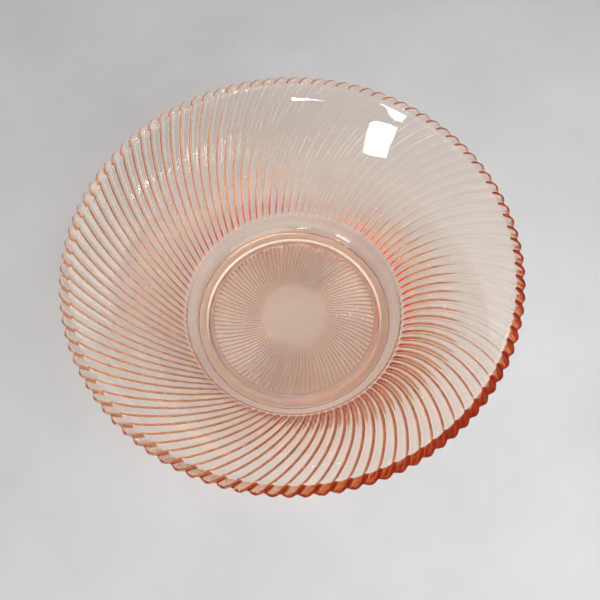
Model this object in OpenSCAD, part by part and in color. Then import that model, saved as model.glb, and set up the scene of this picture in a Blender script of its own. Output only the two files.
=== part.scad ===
// Candy dish in pressed pink glass: a wide flared bowl on a low foot ring.
// The real dish is one pressing. The model splits it where its shape changes: each region is
// a closed solid, and the regions meet face to face on level planes or on one cylinder.
// Origin: centre of the foot ring on the table. +Z up, millimetres.

/* [Dish] */
// Diameter over the tips of the scallops
dish_d = 304.8; // [240:0.1:400]
// Height from the table to the top of the rim
dish_h = 110; // [85:0.5:160]
// How far the wall's outline sags below a straight flare
wall_sag = 6.2; // [0:0.1:9]
// Wall thickness over the crest of a rib
wall_t = 5.6; // [4:0.1:7]

/* [Well] */
// Outside diameter of the plain band where the ribs end
well_d = 175; // [140:0.5:230]
// Height of the rib ends above the table
rib_end_h = 17; // [14:0.5:24]
// Thickness of the floor
floor_t = 4.7; // [3:0.1:7]
// Radius of the bend between the floor and the wall, inside
bend_r = 9; // [3:0.5:10]
// How far the outside of the heel bulges past a straight cone
heel_bulge = 2.2; // [0:0.1:2.6]

/* [Foot] */
// How far the foot ring is set in from the outside of the band
foot_inset = 10; // [7:0.5:13]
// Width of the foot ring on the table
foot_w = 6; // [4:0.5:10]
// How far the foot ring's inner face leans in as it rises
foot_slope = 4; // [0:0.5:5]
// Height of the foot ring, which holds the floor off the table
foot_h = 3.5; // [2.5:0.1:5]
// Radius on the foot ring's two lower edges
foot_edge_r = 1; // [0.4:0.1:1.5]

/* [Swirl ribs] */
// Number of ribs round the wall, one to each scallop
rib_count = 100; // [60:1:120]
// Depth of the grooves between the ribs
groove_depth = 1.5; // [0.5:0.1:1.8]
// Length of a rib's rounded lower end
rib_nose = 3; // [1:0.5:5]
// Turn of a rib from its lower end to the rim, in degrees, clockwise from above
rib_turn = 20.4; // [0:0.1:30]
// How late the turn comes: 1 is even, more bends the ribs near the rim
rib_turn_power = 1.2; // [1:0.05:2]

/* [Rim] */
// Height of the rim's own part of the wall
rim_h = 6; // [4.5:0.5:9]
// Rounding on the outer edge of the rim
rim_round = 1.8; // [0.8:0.1:2]

/* [Fluted disc] */
// Number of flutes under the floor
flute_count = 100; // [60:1:120]
// Depth of the flutes at the edge of the disc
flute_depth = 1.1; // [0.2:0.1:1.1]
// Turn of a flute from the smooth centre to the edge, in degrees, clockwise from above
flute_turn = 10; // [0:0.5:20]
// Thickness of the disc under the floor
disc_t = 1.5; // [1.2:0.1:2]
// Gap between the disc and the top of the foot ring's inner face
disc_gap = 2.7; // [1:0.1:12]
// Diameter of the smooth centre
smooth_d = 44; // [30:1:60]

/* [Hidden] */
$fn = 96;
pink = [0.93, 0.68, 0.58];
deep_pink = [0.86, 0.47, 0.35];
pale_pink = [0.96, 0.80, 0.72];

// Heights of the planes where the regions meet
floor_top = foot_h + floor_t;
rim_z = dish_h - rim_h;

// Radii, from the outside inwards
rim_r = dish_d / 2;
well_r = well_d / 2;
foot_r = well_r - foot_inset;
foot_in_r = foot_r - foot_w;
disc_r = foot_in_r - foot_slope - disc_gap;

// The rim's rounding is limited by the glass behind the grooves
widest_z = dish_h - rim_round;
rim_edge = min(rim_round, 0.4 * (wall_t - groove_depth) * level(widest_z));

// Part of the way up from the rib ends to the widest point, and the flare there: the radius
// gained for each millimetre of height
function rise(z) = (z - rib_end_h) / (widest_z - rib_end_h);
function flare(z) = (rim_r - well_r + 4 * wall_sag * (2 * rise(z) - 1)) / (widest_z - rib_end_h);
// A depth or thickness square to the wall is this much longer when measured level
function level(z) = sqrt(1 + pow(flare(z), 2));

// Radius at each height of the grooves, of the ribs' crests and of the smooth inside
rim_root_r = rim_r - groove_depth * level(widest_z);
function root_r(z) = well_r + (rim_root_r - well_r) * rise(z) - 4 * wall_sag * rise(z) * (1 - rise(z));
function crest_r(z) = root_r(z) + groove_depth * level(z);
function inner_r(z) = crest_r(z) - wall_t * level(z);

// The ribs turn as they go outwards, and their lower ends are rounded noses
function outwards(z) = max(0, (root_r(z) - well_r) / (rim_root_r - well_r));
function turn_at(z) = -rib_turn * pow(outwards(z), rib_turn_power);
function nose_left(z) = 1 - min(1, (z - rib_end_h) / rib_nose);
function rib_height(z) = groove_depth * level(z) * sqrt(1 - pow(nose_left(z), 2));

// A rib is a shallow round lobe with one column of points in the groove and three on the lobe
RIB_STEPS = 4;
rib_columns = rib_count * RIB_STEPS;
rib_pitch = 360 / rib_count;
function lobe(i) = 1 - pow(2 * (i % RIB_STEPS) / RIB_STEPS - 1, 2);

// Rings of points at one height: over the ribs, set in by an edge's rounding, and on the inside
function polar(r, a, z) = [r * cos(a), r * sin(a), z];
function ribbed_ring(r, height, z) = [
    for (i = [0 : rib_columns - 1])
        polar(r + height * lobe(i), turn_at(z) + i * rib_pitch / RIB_STEPS, z)
];
function smooth_ring(r, z) = [
    for (k = [0 : rib_count - 1]) polar(r, turn_at(z) + k * rib_pitch, z)
];

// Joins a list of lists into one list
function flat(lists) = [for (l = lists) each l];
// Faces of a band between two rings of n points, from the lower ring to the upper one
function outside_band(low, high, n) = flat([
    for (i = [0 : n - 1])
        let (j = (i + 1) % n) [[low + i, high + i, high + j], [low + i, high + j, low + j]]
]);
function inside_band(low, high, n) = [
    for (t = outside_band(low, high, n)) [t[2], t[1], t[0]]
];
// Level face between a ribbed ring and a smooth ring inside it, looking down or up
function face_down(ribbed, smooth) = flat([
    for (k = [0 : rib_count - 1])
        let (
            a = ribbed + k * RIB_STEPS,
            next_a = ribbed + ((k + 1) % rib_count) * RIB_STEPS,
            b = smooth + k,
            next_b = smooth + (k + 1) % rib_count
        ) [
            [b, a, a + 1], [b, a + 1, a + 2], [b, a + 2, next_b],
            [next_b, a + 2, a + 3], [next_b, a + 3, next_a]
        ]
]);
function face_up(ribbed, smooth) = [for (t = face_down(ribbed, smooth)) [t[2], t[1], t[0]]];

// A ring of wall from ribbed rings outside and smooth rings inside, each list from low to high
module ribbed_ring_solid(outside, inside) {
    outer_count = len(outside);
    inner_count = len(inside);
    first_inner = outer_count * rib_columns;
    polyhedron(
        points = concat(flat(outside), flat(inside)),
        faces = concat(
            flat([for (k = [0 : outer_count - 2])
                outside_band(k * rib_columns, (k + 1) * rib_columns, rib_columns)]),
            flat([for (k = [0 : inner_count - 2])
                inside_band(first_inner + k * rib_count, first_inner + (k + 1) * rib_count, rib_count)]),
            face_down(0, first_inner),
            face_up((outer_count - 1) * rib_columns, first_inner + (inner_count - 1) * rib_count)
        )
    );
}

// Points of an arc round (x, y) between two angles, for the turned sections
ARC_STEPS = 8;
function arc(x, y, r, from, to) = [
    for (i = [0 : ARC_STEPS])
        let (a = from + (to - from) * i / ARC_STEPS) [x + r * cos(a), y + r * sin(a)]
];

// The ring that the dish stands on, flat underneath, with a sloping inner face
foot_lean = atan2(foot_h, foot_slope);
module foot_ring() {
    color(pale_pink) rotate_extrude()
        polygon(concat(
            [[foot_in_r - foot_slope, foot_h]],
            arc(foot_in_r + foot_edge_r, foot_edge_r, foot_edge_r, 270 - foot_lean, 270),
            arc(foot_r - foot_edge_r, foot_edge_r, foot_edge_r, 270, 360),
            [[foot_r, foot_h]]
        ));
}

// Flutes fade in from the smooth centre: one column of points in each flute and two beside it
FLUTE_STEPS = 3;
FLUTE_RINGS = [0, 0.2, 0.5, 1];
flute_columns = flute_count * FLUTE_STEPS;
function flute_ring(part) = [
    for (i = [0 : flute_columns - 1])
        let (
            r = smooth_d / 2 + (disc_r - smooth_d / 2) * part,
            a = i * 360 / flute_columns - flute_turn * part,
            cut = i % FLUTE_STEPS == 0 ? flute_depth * sqrt(part) : 0
        ) polar(r, a, foot_h - disc_t + cut)
];

// The disc of swirled flutes under the floor
module fluted_base_disc() {
    n = flute_columns;
    rings = [for (part = FLUTE_RINGS) flute_ring(part)];
    edge = (len(rings) - 1) * n;
    top = [for (p = rings[len(rings) - 1]) [p[0], p[1], foot_h]];
    color(deep_pink) polyhedron(
        points = concat(flat(rings), top),
        faces = concat(
            [[for (i = [0 : n - 1]) i]],
            flat([for (k = [0 : len(rings) - 2]) outside_band(k * n, (k + 1) * n, n)]),
            outside_band(edge, edge + n, n),
            [[for (i = [n - 1 : -1 : 0]) edge + n + i]]
        )
    );
}

// The bend touches the floor and the inside of the wall. It ends at or below the rib ends.
wall_angle = atan2(1, flare(rib_end_h));
bend = min(bend_r, (rib_end_h - floor_top) / (1 - cos(wall_angle)));
touch_z = floor_top + bend * (1 - cos(wall_angle));
touch_r = inner_r(rib_end_h) - (rib_end_h - touch_z) * flare(rib_end_h);
bend_x = touch_r - bend * sin(wall_angle);
floor_r = min(foot_in_r, bend_x);

// The flat floor of the well
module well_floor() {
    color(pink) translate([0, 0, foot_h]) cylinder(h = floor_t, r = floor_r);
}

// Outside of the heel: a shallow arc from the foot ring to the rib ends
heel_run = sqrt(pow(foot_inset, 2) + pow(rib_end_h - foot_h, 2));
function heel_point(t) = [
    foot_r + foot_inset * t + 4 * heel_bulge * t * (1 - t) * (rib_end_h - foot_h) / heel_run,
    foot_h + (rib_end_h - foot_h) * t - 4 * heel_bulge * t * (1 - t) * foot_inset / heel_run
];

// From the floor up to the rib ends: the bend inside and the plain band outside
module well_heel() {
    color(pale_pink) rotate_extrude()
        polygon(concat(
            [[floor_r, foot_h]],
            [for (i = [0 : ARC_STEPS]) heel_point(i / ARC_STEPS)],
            [[inner_r(rib_end_h), rib_end_h]],
            arc(bend_x, floor_top + bend, bend, 270 + wall_angle, 270),
            [[floor_r, floor_top]]
        ));
}

// Heights of the wall's rings: close together on the rib noses, even above them
WALL_BANDS = 7;
INSIDE_BANDS = 6;
nose_top = rib_end_h + rib_nose;
wall_heights = concat(
    [rib_end_h, rib_end_h + rib_nose / 4, nose_top],
    [for (i = [1 : WALL_BANDS]) nose_top + (rim_z - nose_top) * i / WALL_BANDS]
);
inside_heights = [
    for (i = [0 : INSIDE_BANDS]) rib_end_h + (rim_z - rib_end_h) * i / INSIDE_BANDS
];

// The flared wall, smooth inside and ribbed outside
module swirl_ribbed_wall() {
    color(pink) ribbed_ring_solid(
        [for (z = wall_heights) ribbed_ring(root_r(z), rib_height(z), z)],
        [for (z = inside_heights) smooth_ring(inner_r(z), z)]
    );
}

// The top of the wall, where the ribs end as scallops and the edge is rounded
module scalloped_rim() {
    mid_z = (rim_z + widest_z) / 2;
    edge_z = widest_z + 0.6 * rim_round;
    notch = groove_depth * level(widest_z);
    color(deep_pink) ribbed_ring_solid(
        [
            for (z = [rim_z, mid_z, widest_z]) ribbed_ring(root_r(z), rib_height(z), z),
            ribbed_ring(rim_root_r - 0.2 * rim_edge, notch, edge_z),
            ribbed_ring(rim_root_r - rim_edge, notch, dish_h)
        ],
        [
            for (z = [rim_z, widest_z]) smooth_ring(inner_r(z), z),
            smooth_ring(inner_r(widest_z) + 0.6 * rim_edge, dish_h)
        ]
    );
}

foot_ring();
fluted_base_disc();
well_floor();
well_heel();
swirl_ribbed_wall();
scalloped_rim();
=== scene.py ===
# %% [markdown]
# # A swirl-ribbed dish in pressed pink glass
#
# The real dish is one piece of glass. A plunger with a smooth face pressed a gob of hot glass
# into a mould whose wall had a hundred slanting hollows cut in it, so the inside came out smooth
# and the outside ribbed. Everything you see in it is light bending at those two faces, and light
# losing its green and blue on the way through the glass between them.
#
# That decides how it is modelled. Glass only looks right if it is one closed skin with no walls
# inside it, so the whole dish is a single mesh: its section is drawn as a wire, spun round the
# axis, and then the ribs, the scallops and the flutes are raised by moving the spun vertices.

# %% Load the frame
from math import atan2, cos, degrees, exp, hypot, pi, radians, sin, sqrt, tau

import bmesh
import bpy
from mathutils import Matrix, Vector


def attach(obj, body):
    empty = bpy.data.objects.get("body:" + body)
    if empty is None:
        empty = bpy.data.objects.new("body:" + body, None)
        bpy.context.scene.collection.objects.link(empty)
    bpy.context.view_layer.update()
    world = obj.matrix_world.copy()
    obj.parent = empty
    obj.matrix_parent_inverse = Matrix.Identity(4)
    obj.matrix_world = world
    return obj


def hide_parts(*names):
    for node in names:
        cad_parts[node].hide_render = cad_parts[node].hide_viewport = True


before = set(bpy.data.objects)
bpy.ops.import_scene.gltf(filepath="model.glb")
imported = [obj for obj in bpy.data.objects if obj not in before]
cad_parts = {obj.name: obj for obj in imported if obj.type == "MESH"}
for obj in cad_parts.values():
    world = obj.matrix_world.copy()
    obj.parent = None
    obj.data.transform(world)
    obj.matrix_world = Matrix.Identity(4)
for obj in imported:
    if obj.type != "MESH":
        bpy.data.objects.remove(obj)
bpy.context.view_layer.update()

# %% [markdown]
# ## Sizes
#
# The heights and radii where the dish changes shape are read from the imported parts, so the
# glass always fits them. What a box can't tell, such as the depth of a groove, is named here.

# %% Read the sizes from the frame
MM = 0.001


def size_of(node):
    """Largest radius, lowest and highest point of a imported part, in metres."""
    points = [vertex.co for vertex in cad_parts[node].data.vertices]
    heights = [point.z for point in points]
    return max(hypot(point.x, point.y) for point in points), min(heights), max(heights)


foot_r, table_z, foot_h = size_of("foot_ring")
disc_r, disc_z, _ = size_of("fluted_base_disc")
_, _, floor_z = size_of("well_floor")
_, _, rib_end_z = size_of("well_heel")
rim_r, _, rim_z = size_of("scalloped_rim")
print(f"foot {foot_r:.4f}, disc {disc_r:.4f}, rim {rim_r:.4f} m in radius")
print(f"floor at {floor_z:.4f}, rib ends at {rib_end_z:.4f}, rim at {rim_z:.4f} m")

# %% [markdown]
# The names below are the ones that the CAD source uses, so the two can be read side by side. A
# rib is a shallow lobe and a groove is the notch between two of them. The ribs turn as they rise,
# and the flutes under the floor turn a little too.

# %% Name what the boxes can't tell
well_r = foot_r + 10 * MM
foot_w = 6 * MM
foot_slope = 4 * MM
heel_bulge = 2.2 * MM
wall_t = 5.6 * MM
wall_sag = 6.2 * MM
rim_round = 1.8 * MM
groove_depth = 1.5 * MM
rib_nose = 3 * MM
rib_count = 100
rib_turn = radians(20.4)
rib_turn_power = 1.2
flute_depth = 1.1 * MM
flute_turn = radians(10)
smooth_r = 22 * MM
widest_z = rim_z - rim_round

# %% [markdown]
# ## The outline of the wall
#
# The wall is a shallow arc that leans further out as it rises. `rise` says how far up a height
# is, from 0 at the rib ends to 1 at the widest point, and `flare` how fast the radius grows
# there. A thickness is measured square to the glass, so across the level it is `level` times
# longer: that one factor gives the crests, the grooves and the smooth inside from one curve.

# %% Describe the wall
span = widest_z - rib_end_z


def rise(z):
    return (z - rib_end_z) / span


def flare(z):
    return (rim_r - well_r + 4 * wall_sag * (2 * rise(z) - 1)) / span


def level(z):
    return sqrt(1 + flare(z) ** 2)


rim_root_r = rim_r - groove_depth * level(widest_z)


def root_r(z):
    return well_r + (rim_root_r - well_r) * rise(z) - 4 * wall_sag * rise(z) * (1 - rise(z))


def inner_r(z):
    return root_r(z) - (wall_t - groove_depth) * level(z)


print(f"the wall leans {degrees(atan2(1, flare(rib_end_z))):.0f} degrees at the rib ends")
print(f"and {degrees(atan2(1, flare(widest_z))):.0f} degrees at the rim")

# %% [markdown]
# ## The section, drawn as a wire
#
# Glass has no sharp corners, because fire polishing melts them. So the section is drawn by its
# corners only, each with a rounding of its own. It starts under the middle of the floor, goes
# out and up the outside, over the rim, and down the inside to the middle of the floor again.

# %% List the corners
foot_in_r = foot_r - foot_w
nose_z = rib_end_z + rib_nose
lip_z = rim_z - 3 * MM
corner_r = inner_r(rib_end_z) - (rib_end_z - floor_z) * flare(rib_end_z)
corners = {
    # name: (radius, height, reach of the rounding, its segments)
    "under": (0, disc_z, 0, 0),
    "smooth": (smooth_r, disc_z, 0, 0),
    "disc": (disc_r, disc_z, 0.5 * MM, 3),
    "step": (disc_r + 0.2 * MM, foot_h, 0.4 * MM, 2),
    "slope": (foot_in_r - foot_slope, foot_h, 0.7 * MM, 3),
    "foot in": (foot_in_r + 0.4 * MM, table_z, 0.8 * MM, 3),
    "foot out": (foot_r - 0.1 * MM, table_z, 1.1 * MM, 4),
    "foot top": (foot_r, foot_h, 0.8 * MM, 3),
    "band": (well_r, rib_end_z, 0, 0),
    "nose": (root_r(nose_z), nose_z, 0, 0),
    "lip out": (rim_root_r + 0.3 * MM, rim_z - 0.8 * MM, 1.8 * MM, 5),
    "lip in": (inner_r(widest_z) + 0.3 * MM, rim_z, 0.6 * MM, 3),
    "lip turn": (inner_r(lip_z), lip_z, 0.8 * MM, 2),
    "bend": (corner_r, floor_z, 6 * MM, 8),
    "floor": (0, floor_z, 0, 0),
}
glass = bmesh.new()
wire = [glass.verts.new((r, 0, z)) for r, z, _, _ in corners.values()]
for ends in zip(wire, wire[1:]):
    glass.edges.new(ends)
print(len(wire), "corners,", len(glass.edges), "straight edges")

# %% [markdown]
# A straight edge can't bend, so the long ones are cut into short ones first. The cuts on the
# wall are then moved onto its arc, and those on the heel are pushed out into a bulge. Cutting
# renews the mesh's vertices, so each edge is looked up by where it is.

# %% Cut the long edges and bend them


def place(name):
    r, z, _, _ = corners[name]
    return Vector((r, 0, z))


def cut(start, end, count):
    """Cut the edge between two corners into equal lengths and give back its new vertices."""
    middle = (place(start) + place(end)) / 2
    edge = min(glass.edges, key=lambda e: ((e.verts[0].co + e.verts[1].co) / 2 - middle).length)
    made = bmesh.ops.subdivide_edges(glass, edges=[edge], cuts=count)
    return [item for item in made["geom_inner"] if isinstance(item, bmesh.types.BMVert)]


cut("smooth", "disc", 10)
cut("step", "slope", 1)
cut("slope", "foot in", 2)
cut("foot in", "foot out", 1)
heel_run = (place("band") - place("foot top")).length
for vertex in cut("foot top", "band", 8):
    part = (vertex.co - place("foot top")).length / heel_run
    bulge = 4 * heel_bulge * part * (1 - part) / heel_run
    vertex.co += bulge * Vector((rib_end_z - foot_h, 0, foot_r - well_r))
for vertex in cut("band", "nose", 7):
    vertex.co.x = root_r(vertex.co.z)
for vertex in cut("nose", "lip out", 26):
    vertex.co.x = root_r(vertex.co.z)
cut("lip out", "lip in", 2)
for vertex in cut("lip turn", "bend", 15):
    below = max(0, rib_end_z - vertex.co.z)
    vertex.co.x = inner_r(vertex.co.z + below) - flare(rib_end_z) * below
cut("bend", "floor", 3)
print(len(glass.verts), "vertices in the wire")

# %% [markdown]
# Now the corners. A bevel on a single vertex of a wire puts an arc in its place, which is what
# the heat of the mould and the fire polish did. Each one takes the nearest vertex to where the
# corner was drawn, its own reach and its own number of segments.

# %% Round the corners
for name, (_, _, reach, segments) in corners.items():
    if reach:
        nearest = min(glass.verts, key=lambda v: (v.co - place(name)).length)
        bmesh.ops.bevel(
            glass, geom=[nearest], offset=reach, offset_type="OFFSET", segments=segments,
            profile=0.5, affect="VERTICES", material=-1,
        )
print(len(glass.verts), "vertices once the corners are round")

# %% [markdown]
# ## Which vertices belong to a rib or a flute
#
# The spin copies every wire vertex round the dish together with its layers. So each vertex is
# marked now, while the section is still flat, with the depth of the groove that will run past
# it and the angle that the pattern has turned by there. The ribs fade out over the rim, and
# the flutes fade out towards the smooth middle of the disc.

# %% Mark the section
rib_layer = glass.verts.layers.float.new("rib")
flute_layer = glass.verts.layers.float.new("flute")
turn_layer = glass.verts.layers.float.new("turn")
FADE_POWER = 0.7


def turn_at(z):
    """Angle that the ribs have turned by at a height: clockwise, and faster near the rim."""
    outwards = (root_r(z) - well_r) / (rim_root_r - well_r)
    return -rib_turn * min(1, max(0, outwards)) ** rib_turn_power


lip_in_r, _, _, _ = corners["lip in"]
lip_out_r, _, _, _ = corners["lip out"]
for vertex in glass.verts:
    r = vertex.co.x
    z = vertex.co.z
    if z > rib_end_z - 1e-6:
        vertex[turn_layer] = turn_at(z)
        if r > (root_r(z) + inner_r(z)) / 2 or z > widest_z:
            across = (r - lip_in_r) / (lip_out_r - lip_in_r)
            fade = 1 if z < widest_z else min(1, max(0, across)) ** FADE_POWER
            vertex[rib_layer] = groove_depth * level(min(z, widest_z)) * fade
    elif z < disc_z + 1e-6 and r < disc_r:
        part = max(0, (r - smooth_r) / (disc_r - smooth_r))
        vertex[turn_layer] = flute_turn * (1 - part)
        vertex[flute_layer] = flute_depth * sqrt(part)
ribbed = sum(vertex[rib_layer] > 0 for vertex in glass.verts)
fluted = sum(vertex[flute_layer] > 0 for vertex in glass.verts)
print(ribbed, "rows of ribs and", fluted, "rows of flutes")

# %% [markdown]
# ## One rib's width of the dish
#
# The dish is the same hundred times over, so only a slice one rib wide is shaped. The wire is
# spun through that small angle in eight steps. Eight even columns would blunt the groove, so
# they are crowded towards the slice's two sides, where the grooves are. Then each vertex moves
# out from the axis by the lobe's height at its place, and round the axis by the pattern's turn.
#
# At its lower end a lobe must not stop like a step. It ends like a fingertip: narrower and
# lower towards the plain band.

# %% Spin and shape one slice
COLUMNS = (0, 0.06, 0.16, 0.32, 0.5, 0.68, 0.84, 0.94, 1)
pitch = tau / rib_count
LOBE_POWER = 1.3
FLUTE_POWER = 2


def lobe(across, along):
    """Height of a rib, from 0 to 1, at a place across its pitch and along its rounded end."""
    return max(0, sin(pi * across) ** LOBE_POWER - (1 - along) ** 2)


bmesh.ops.spin(
    glass, geom=glass.verts[:] + glass.edges[:], cent=(0, 0, 0), axis=(0, 0, 1),
    angle=pitch, steps=len(COLUMNS) - 1,
)
for vertex in glass.verts:
    r = hypot(vertex.co.x, vertex.co.y)
    step = round(atan2(vertex.co.y, vertex.co.x) / pitch * (len(COLUMNS) - 1))
    across = COLUMNS[step]
    along = min(1, max(0, (vertex.co.z - rib_end_z) / rib_nose))
    angle = across * pitch + vertex[turn_layer]
    r += vertex[rib_layer] * lobe(across, along)
    z = vertex.co.z + vertex[flute_layer] * abs(2 * across - 1) ** FLUTE_POWER
    vertex.co = (r * cos(angle), r * sin(angle), z)
print(len(glass.verts), "vertices in one slice")

# %% [markdown]
# ## A hundred slices
#
# A second spin copies the slice round the axis, 99 more times. Neighbours meet exactly, so
# merging their doubles leaves one closed skin, and the corners on the axis become one vertex
# under the disc and one in the middle of the floor.

# %% Spin the slices round
SAME_PLACE = 0.01 * MM
bmesh.ops.spin(
    glass, geom=glass.verts[:] + glass.edges[:] + glass.faces[:], cent=(0, 0, 0), axis=(0, 0, 1),
    angle=tau - pitch, steps=rib_count - 1, use_duplicate=True,
)
bmesh.ops.remove_doubles(glass, verts=glass.verts[:], dist=SAME_PLACE)
bmesh.ops.recalc_face_normals(glass, faces=glass.faces[:])
open_edges = sum(not edge.is_manifold for edge in glass.edges)
print(len(glass.verts), "vertices,", len(glass.faces), "faces,", open_edges, "open edges")
print(f"{glass.calc_volume() * 1e6:.0f} ml of glass, {glass.calc_volume() * 2480:.2f} kg")

# %% [markdown]
# ## One piece in the place of six
#
# The CAD model splits the dish into regions, to make it easy to edit. Shown as they are, the
# planes where they meet would glint inside the glass like cracks, so this one skin takes the
# place of all of them. The dish is rigid, so it rides the root of the frame.

# %% Make it a piece on the frame
for face in glass.faces:
    face.smooth = True
mesh = bpy.data.meshes.new("pressed_glass_dish")
glass.to_mesh(mesh)
glass.free()
dish = bpy.data.objects.new("pressed_glass_dish", mesh)
bpy.context.scene.collection.objects.link(dish)
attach(dish, "root")
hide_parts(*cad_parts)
triangles = sum(len(polygon.vertices) - 2 for polygon in mesh.polygons)
print(triangles, "triangles in the dish")

# %% [markdown]
# ## Writing materials as sums
#
# A material is a sum of small causes, and it is easiest to read when it is written as one. Two
# small classes do that: `Value` wraps a node's output and turns Python's arithmetic into Math
# nodes, and `Finish` adds any other node to a material.

# %% Wrap sockets and nodes


class Value:
    """The output of a node, on which arithmetic adds Math nodes."""

    def __init__(self, finish, socket):
        self.finish = finish
        self.socket = socket

    def math(self, operation, *inputs):
        return self.finish.add("Math", {"operation": operation}, dict(enumerate(inputs)))

    def __add__(self, other):
        return self.math("ADD", self, other)

    def __mul__(self, other):
        return self.math("MULTIPLY", self, other)

    def __sub__(self, other):
        return self.math("SUBTRACT", self, other)

    def __rsub__(self, other):
        return self.math("SUBTRACT", other, self)

    def __pow__(self, other):
        return self.math("POWER", self, other)

    __radd__ = __add__
    __rmul__ = __mul__


class Finish:
    """A material or a world, and a way to add nodes to it."""

    def __init__(self, owner):
        owner.use_nodes = True
        self.owner = owner
        self.tree = owner.node_tree
        self.tree.nodes.clear()

    def add(self, kind, settings=None, inputs=None, output=0):
        """Add a node by its type, set it up, fill its inputs and give back one output."""
        node = self.tree.nodes.new("ShaderNode" + kind)
        for name, setting in (settings or {}).items():
            setattr(node, name, setting)
        for name, value in (inputs or {}).items():
            if isinstance(value, Value):
                self.tree.links.new(value.socket, node.inputs[name])
            else:
                node.inputs[name].default_value = value
        return Value(self, node.outputs[output]) if len(node.outputs) else None


# %% [markdown]
# ## Pink glass
#
# The colour of this glass isn't on it but in it. A trace of selenium or gold soaks up green and
# blue light, a little for each millimetre: seen square on, a wall is nearly clear, and where
# light has run along the inside of a rib or of the rim it comes out deep orange. So the surface
# is left white and the colour is an absorption in the volume.

# %% Choose how much colour the glass soaks up
ABSORBS = (4, 21, 37)  # share of red, green and blue lost, per metre
DENSITY = 60.0
tint = [1 - share / DENSITY for share in ABSORBS]
passed = [round(exp(-share * 10 * MM), 2) for share in ABSORBS]
print("red, green and blue that 10 mm lets through:", passed)

# %% [markdown]
# ## A pressed surface
#
# Pressed glass is never as flat as window glass, because the mould chills its skin while it is
# still moving. A slow noise, about a tenth of a millimetre high, goes through a Bump and makes
# the reflections a little crooked. Where the dish stands, years on tables have rubbed the foot,
# so there it is slightly matt. Both are found from the place on the dish.

# %% Find the waves and the worn foot
WAVES_PER_METRE = 55.0
WAVE_HEIGHT = 0.13 * MM
glass_finish = Finish(bpy.data.materials.new("pressed_pink_glass"))
on_dish = glass_finish.add("TexCoord", output="Object")
mould = glass_finish.add(
    "TexNoise",
    inputs={"Vector": on_dish, "Scale": WAVES_PER_METRE, "Detail": 1.0, "Roughness": 0.4},
)
waves = glass_finish.add("Bump", inputs={"Strength": 1.0, "Distance": WAVE_HEIGHT, "Height": mould})
x_part = glass_finish.add("SeparateXYZ", inputs={"Vector": on_dish}, output="X")
y_part = glass_finish.add("SeparateXYZ", inputs={"Vector": on_dish}, output="Y")
over_table = glass_finish.add("SeparateXYZ", inputs={"Vector": on_dish}, output="Z")
from_axis = (x_part * x_part + y_part * y_part) ** 0.5
outside_disc = from_axis.math("GREATER_THAN", from_axis, disc_r + 1 * MM)
on_foot = outside_disc * over_table.math("LESS_THAN", over_table, foot_h - 0.1 * MM)

# %% [markdown]
# The shader itself is short: a white surface that lets everything through and bends it as glass
# does, and the absorption that fills the space inside.

# %% Make the glass
WORN_ROUGHNESS = 0.2
REFRACTION = 1.5
surface = glass_finish.add(
    "BsdfPrincipled",
    inputs={
        "Base Color": (1, 1, 1, 1), "Roughness": on_foot * WORN_ROUGHNESS, "IOR": REFRACTION,
        "Transmission Weight": 1.0, "Normal": waves,
    },
)
depth = glass_finish.add("VolumeAbsorption", inputs={"Color": (*tint, 1), "Density": DENSITY})
glass_finish.add("OutputMaterial", inputs={"Surface": surface, "Volume": depth})
mesh.materials.append(glass_finish.owner)
print("made", glass_finish.owner.name, "with", len(glass_finish.tree.nodes), "nodes")

# %% [markdown]
# ## The floor
#
# The dish stands on a large pale sheet. A perfectly even sheet looks like nothing at all, so its
# tone drifts a little from place to place. It lies a hair below the table plane, because two
# faces in exactly the same place would fight over which one is seen.

# %% Lay the floor
FLOOR_REACH = 12
FLOOR_DROP = 0.4 * MM
floor_mesh = bpy.data.meshes.new("studio_floor")
sheet = bmesh.new()
bmesh.ops.create_grid(sheet, x_segments=1, y_segments=1, size=FLOOR_REACH)
sheet.to_mesh(floor_mesh)
sheet.free()
floor = bpy.data.objects.new("studio_floor", floor_mesh)
bpy.context.scene.collection.objects.link(floor)
floor.location.z = -FLOOR_DROP
print("floor", [round(side, 1) for side in floor.dimensions[:2]], "m")

# %% [markdown]
# Its colour is a pale grey with a cloudy noise in it, a touch bluer than neutral, like painted
# board in daylight. The three channels are made from one tone, so they can't drift apart.

# %% Give the floor its tone
floor_finish = Finish(bpy.data.materials.new("pale_floor"))
on_floor = floor_finish.add("TexCoord", output="Object")
cloud = floor_finish.add(
    "TexNoise", inputs={"Vector": on_floor, "Scale": 7.0, "Detail": 5.0, "Roughness": 0.6}
)
tone = 0.51 + cloud * 0.18
paint = floor_finish.add("CombineColor", inputs={"Red": tone, "Green": tone, "Blue": tone * 1.015})
matt = floor_finish.add("BsdfPrincipled", inputs={"Base Color": paint, "Roughness": 0.7})
floor_finish.add("OutputMaterial", inputs={"Surface": matt})
floor_mesh.materials.append(floor_finish.owner)
print("made", floor_finish.owner.name)

# %% [markdown]
# ## The room as a sky
#
# A glass dish shows the room bent into it, so the room matters more than the lamps. It is one
# glowing sky, written as a sum: an even part, a part for each side that is brighter, and a band
# just above the table that is brightest at the front. The dish's rim and ribs collect that low
# light and carry it through the most glass, which is what makes them glow orange.

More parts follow.
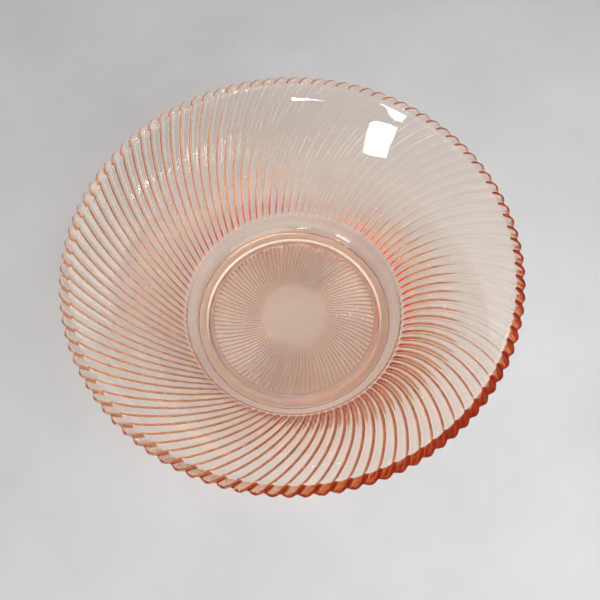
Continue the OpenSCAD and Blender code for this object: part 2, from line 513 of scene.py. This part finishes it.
# %% Make the sky
world = bpy.data.worlds.new("studio")
bpy.context.scene.world = world
sky = Finish(world)
toward = sky.add("TexCoord")
right_of_it = sky.add("SeparateXYZ", inputs={"Vector": toward}, output="X")
away = sky.add("SeparateXYZ", inputs={"Vector": toward}, output="Y")
height = sky.add("SeparateXYZ", inputs={"Vector": toward}, output="Z")
above = height.math("MAXIMUM", height, 0)
left = right_of_it.math("MAXIMUM", right_of_it * -1, 0)
front = away.math("MAXIMUM", away * -1, 0)
behind = away.math("MAXIMUM", away, 0)
low = (1 - above) ** 4
strength = 0.2 + behind * 0.5 + left * 0.15 + low * 1.2 + low * front * 1.8
glow = sky.add("Background", inputs={"Color": (1, 1, 1, 1), "Strength": strength})
sky.add("OutputWorld", inputs={"Surface": glow})
print("the sky is a sum of", len(sky.tree.nodes), "nodes")

# %% [markdown]
# ## Three lamps
#
# A window at the front left is seen as one bright patch in the far wall, and a tube lamp in front
# as a dash beside it: each is aimed by a point on the wall and the direction that the wall mirrors
# there. A broad softbox at the front right brightens the floor on that side and is kept out of
# the reflections.

# %% Place the lamps


def panel(name, towards, direction, distance, size, power):
    """A rectangular soft light that faces a point from a direction."""
    light = bpy.data.lights.new(name, "AREA")
    light.shape = "RECTANGLE"
    light.size, light.size_y = size
    light.energy = power
    lamp = bpy.data.objects.new(name, light)
    lamp.location = Vector(towards) + Vector(direction).normalized() * distance
    lamp.rotation_mode = "QUATERNION"
    lamp.rotation_quaternion = Vector(direction).to_track_quat("Z", "Y")
    bpy.context.scene.collection.objects.link(lamp)
    return lamp


window = panel("window", (0.066, 0.111, 0.089), (-0.62, -0.65, 0.42), 2.5, (0.48, 0.47), 11)
window.visible_diffuse = False
tube = panel("tube", (0.011, 0.138, 0.101), (-0.11, -0.81, 0.58), 2.5, (0.5, 0.06), 6)
tube.visible_diffuse = False
softbox = panel("softbox", (0, 0, 0), (0.4, -0.6, 0.95), 1.19, (0.9, 0.9), 12.5)
softbox.visible_glossy = False
print("lamps:", window.name, tube.name, softbox.name)

# %% [markdown]
# ## The camera
#
# It looks down into the dish from in front and above, a little to the right of the axis, from
# about an arm's length. Its right, up and back directions are written out, because they are the
# three columns of its matrix.

# %% Set up the camera
FOCAL_LENGTH_MM = 37.29
SENSOR_MM = 36
camera_data = bpy.data.cameras.new("camera")
camera = bpy.data.objects.new("camera", camera_data)
bpy.context.scene.collection.objects.link(camera)
camera_data.lens = FOCAL_LENGTH_MM
camera_data.sensor_width = SENSOR_MM
look = radians(66.727)
roll = radians(-0.13)
right = Vector((cos(roll), sin(look) * sin(roll), cos(look) * sin(roll)))
back = Vector((0, -cos(look), sin(look)))
up = back.cross(right)
camera.matrix_world = Matrix((right, up, back)).transposed().to_4x4()
camera.location = (0.0049, -0.1873, 0.4722)
bpy.context.scene.camera = camera
print(f"the camera looks down at {degrees(look):.0f} degrees")

# %% [markdown]
# ## Letting light get through
#
# Inside a rib, light can bounce dozens of times before it finds a way out. A path that is cut
# short comes back black, so the limits are set high. Nothing blurs or caps the light that the
# glass throws on the floor either, or the floor seen through it would be too dark.

# %% Choose how it is shown
MOST_BOUNCES = 96
scene = bpy.context.scene
scene.view_settings.view_transform = "Standard"
scene.cycles.use_denoising = True
scene.cycles.max_bounces = MOST_BOUNCES
scene.cycles.transmission_bounces = MOST_BOUNCES
scene.cycles.glossy_bounces = MOST_BOUNCES
scene.cycles.diffuse_bounces = 8
scene.cycles.blur_glossy = 0
scene.cycles.sample_clamp_indirect = 0
